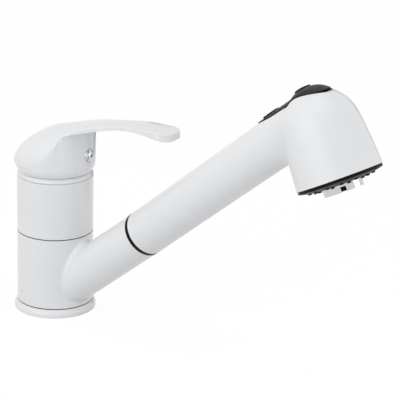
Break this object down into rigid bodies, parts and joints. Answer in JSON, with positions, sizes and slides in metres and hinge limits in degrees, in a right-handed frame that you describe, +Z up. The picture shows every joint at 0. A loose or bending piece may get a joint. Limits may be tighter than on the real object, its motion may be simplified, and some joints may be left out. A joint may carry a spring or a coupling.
{
  "type": "pull-out kitchen mixer tap",
  "caption": "White single-lever kitchen mixer tap: swivelling column with a slanted arm, and a pull-out spray head with a rocker that selects stream or spray.",
  "frame": {"origin": "centre of the foot's underside, on the sink deck", "axes": "+Z up the column, +X along the spout as it points at rest, +Y to the left of the spout"},
  "size_m": [0.2659, 0.0516, 0.1845],
  "materials": {
    "white_metal": "gloss white enamel",
    "white_plastic": "gloss white",
    "black_plastic": "satin",
    "soft_grey": "soft matt",
    "black_rubber": "matt",
    "chrome": "polished",
    "brass": "machined",
    "steel": "ground",
    "ceramic": "lapped",
    "acetal": "moulded",
    "grey_plastic": "moulded"
  },
  "bodies": {
    "column": {"main_body": "white_metal", "base_flange": "white_metal", "base_seal": "black_rubber", "lower_glide_ring": "acetal", "upper_glide_ring": "acetal", "cartridge_base": "grey_plastic", "base_seals": "black_rubber", "cartridge_housing": "grey_plastic", "fixed_disc": "ceramic", "cartridge_nut": "brass", "dome_ring": "white_metal"},
    "spout": {"spout_body": "white_metal", "docking_collar": "black_plastic"},
    "spray": {"spray_shell": "white_plastic", "rocker_pin": "steel", "hose_connector": "brass", "connector_seal": "black_rubber", "waterway_tube": "grey_plastic", "diverter_body": "grey_plastic", "face_plate": "black_plastic", "nozzle_mat": "black_rubber", "aerator_housing": "chrome", "aerator_insert": "black_plastic", "aerator_seal": "black_rubber"},
    "selector": {"selector_rocker": "soft_grey"},
    "spool": {"diverter_spool": "acetal", "spool_seals": "black_rubber"},
    "rotor": {"rotor": "acetal", "pivot_pin": "steel"},
    "lever": {"lever_handle": "white_metal", "stem": "steel", "grub_screw": "steel", "indicator_plug": "chrome"},
    "disc": {"moving_disc": "ceramic", "disc_carrier": "acetal"}
  },
  "joints": [
    {"name": "spout_swivel", "type": "hinge", "parent": "column", "child": "spout", "pos_m": [0, 0, 0.03], "axis": [0, 0, 1], "range_deg": [-60, 60]},
    {"name": "spray_pull", "type": "slide", "parent": "spout", "child": "spray", "axis": [0.7826, 0, 0.6225], "range_m": [0, 0.4]},
    {"name": "rocker_tilt", "type": "hinge", "parent": "spray", "child": "selector", "pos_m": [0.18233, 0, 0.16833], "axis": [0, 1, 0], "range_deg": [-3.5, 3.5]},
    {"name": "spool_slide", "type": "slide", "parent": "spray", "child": "spool", "axis": [0.7826, 0, 0.6225], "range_m": [-0.0006, 0.0006]},
    {"name": "lever_turn", "type": "hinge", "parent": "column", "child": "rotor", "pos_m": [0, 0, 0.079], "axis": [0, 0, 1], "range_deg": [-59, 41]},
    {"name": "lever_lift", "type": "hinge", "parent": "rotor", "child": "lever", "pos_m": [0, 0, 0.079], "axis": [0.1564, -0.9877, 0], "range_deg": [0, 25]},
    {"name": "disc_slide", "type": "slide", "parent": "rotor", "child": "disc", "axis": [0.9877, 0.1564, 0], "range_m": [0, 0.0048]}
  ],
  "couplings": [
    {"joint": "spool_slide", "follows": "rocker_tilt", "m_per_rad": -0.00915},
    {"joint": "disc_slide", "follows": "lever_lift", "m_per_rad": 0.0108}
  ]
}
